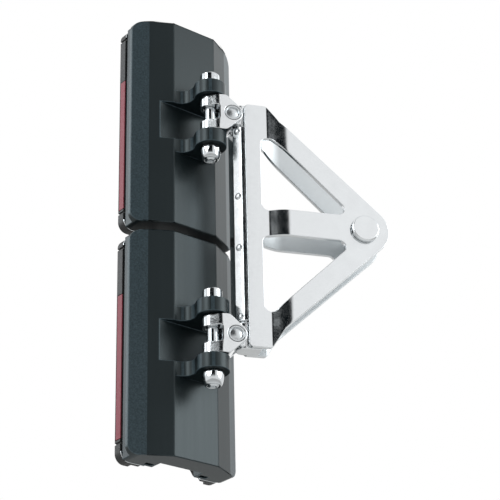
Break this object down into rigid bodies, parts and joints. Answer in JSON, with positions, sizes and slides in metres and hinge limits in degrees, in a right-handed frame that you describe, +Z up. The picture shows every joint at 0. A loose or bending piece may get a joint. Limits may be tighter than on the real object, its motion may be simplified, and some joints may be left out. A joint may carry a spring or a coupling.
{
  "type": "mainsail headboard car",
  "caption": "Black aluminium track cars joined end to end by steel toggles and a polished triangular bracket; they slide on a mast track and carry the head of a mainsail.",
  "frame": {"origin": "on the floor of the track channel, on its centre line, half way between the two cars", "axes": "+Z up along the mast track, -Y aft, away from the mast, +X to the side the bracket is swung to at rest"},
  "size_m": [0.1589, 0.112, 0.3236],
  "materials": {
    "black_anodised": "satin black anodised",
    "black_plastic": "moulded, matt",
    "red_strip": "moulded, satin",
    "white_ball": "smooth",
    "polished_steel": "mirror-polished stainless steel",
    "bright_steel": "bright turned stainless steel"
  },
  "bodies": {
    "upper_car": {"upper_car_body": "black_anodised", "upper_retainer_left": "bright_steel", "upper_retainer_right": "bright_steel", "upper_guide_left": "black_plastic", "upper_guide_right": "black_plastic", "upper_stripe_left": "red_strip", "upper_stripe_right": "red_strip", "upper_ball_row_left": "white_ball", "upper_ball_row_right": "white_ball", "upper_guide_screw_left_top": "bright_steel", "upper_guide_screw_left_bottom": "bright_steel", "upper_guide_screw_right_top": "bright_steel", "upper_guide_screw_right_bottom": "bright_steel", "upper_bolt": "bright_steel", "upper_nut": "bright_steel"},
    "upper_toggle_body": {"upper_toggle": "polished_steel", "upper_toggle_pin": "bright_steel"},
    "bracket": {"spine_bar": "polished_steel", "near_plate": "polished_steel", "far_plate": "polished_steel", "apex_pin": "polished_steel", "apex_washer": "bright_steel", "apex_clip": "bright_steel", "spine_rivet_1": "bright_steel", "spine_rivet_2": "bright_steel", "spine_rivet_3": "bright_steel", "spine_rivet_4": "bright_steel"},
    "lower_toggle_body": {"lower_toggle": "polished_steel", "lower_toggle_pin": "bright_steel"},
    "lower_car": {"lower_car_body": "black_anodised", "lower_retainer_left": "bright_steel", "lower_retainer_right": "bright_steel", "lower_guide_left": "black_plastic", "lower_guide_right": "black_plastic", "lower_stripe_left": "red_strip", "lower_stripe_right": "red_strip", "lower_ball_row_left": "white_ball", "lower_ball_row_right": "white_ball", "lower_guide_screw_left_top": "bright_steel", "lower_guide_screw_left_bottom": "bright_steel", "lower_guide_screw_right_top": "bright_steel", "lower_guide_screw_right_bottom": "bright_steel", "lower_bolt": "bright_steel", "lower_nut": "bright_steel"}
  },
  "joints": [
    {"name": "upper_swing", "type": "hinge", "parent": "upper_car", "child": "upper_toggle_body", "pos_m": [0, -0.0345, 0.0825], "axis": [0, 0, 1], "range_deg": [-153, 20]},
    {"name": "upper_pitch", "type": "hinge", "parent": "upper_toggle_body", "child": "bracket", "pos_m": [0.01256, -0.03996, 0.0825], "axis": [0.3987, 0.9171, 0], "range_deg": [-3, 3]},
    {"name": "lower_pitch", "type": "hinge", "parent": "bracket", "child": "lower_toggle_body", "pos_m": [0.01256, -0.03996, -0.0825], "axis": [0.3987, 0.9171, 0], "range_deg": [-3, 3]},
    {"name": "lower_swing", "type": "hinge", "parent": "lower_toggle_body", "child": "lower_car", "pos_m": [0, -0.0345, -0.0825], "axis": [0, 0, 1], "range_deg": [-20, 153]}
  ],
  "couplings": [
    {"joint": "lower_swing", "follows": "upper_swing", "ratio": -1}
  ]
}
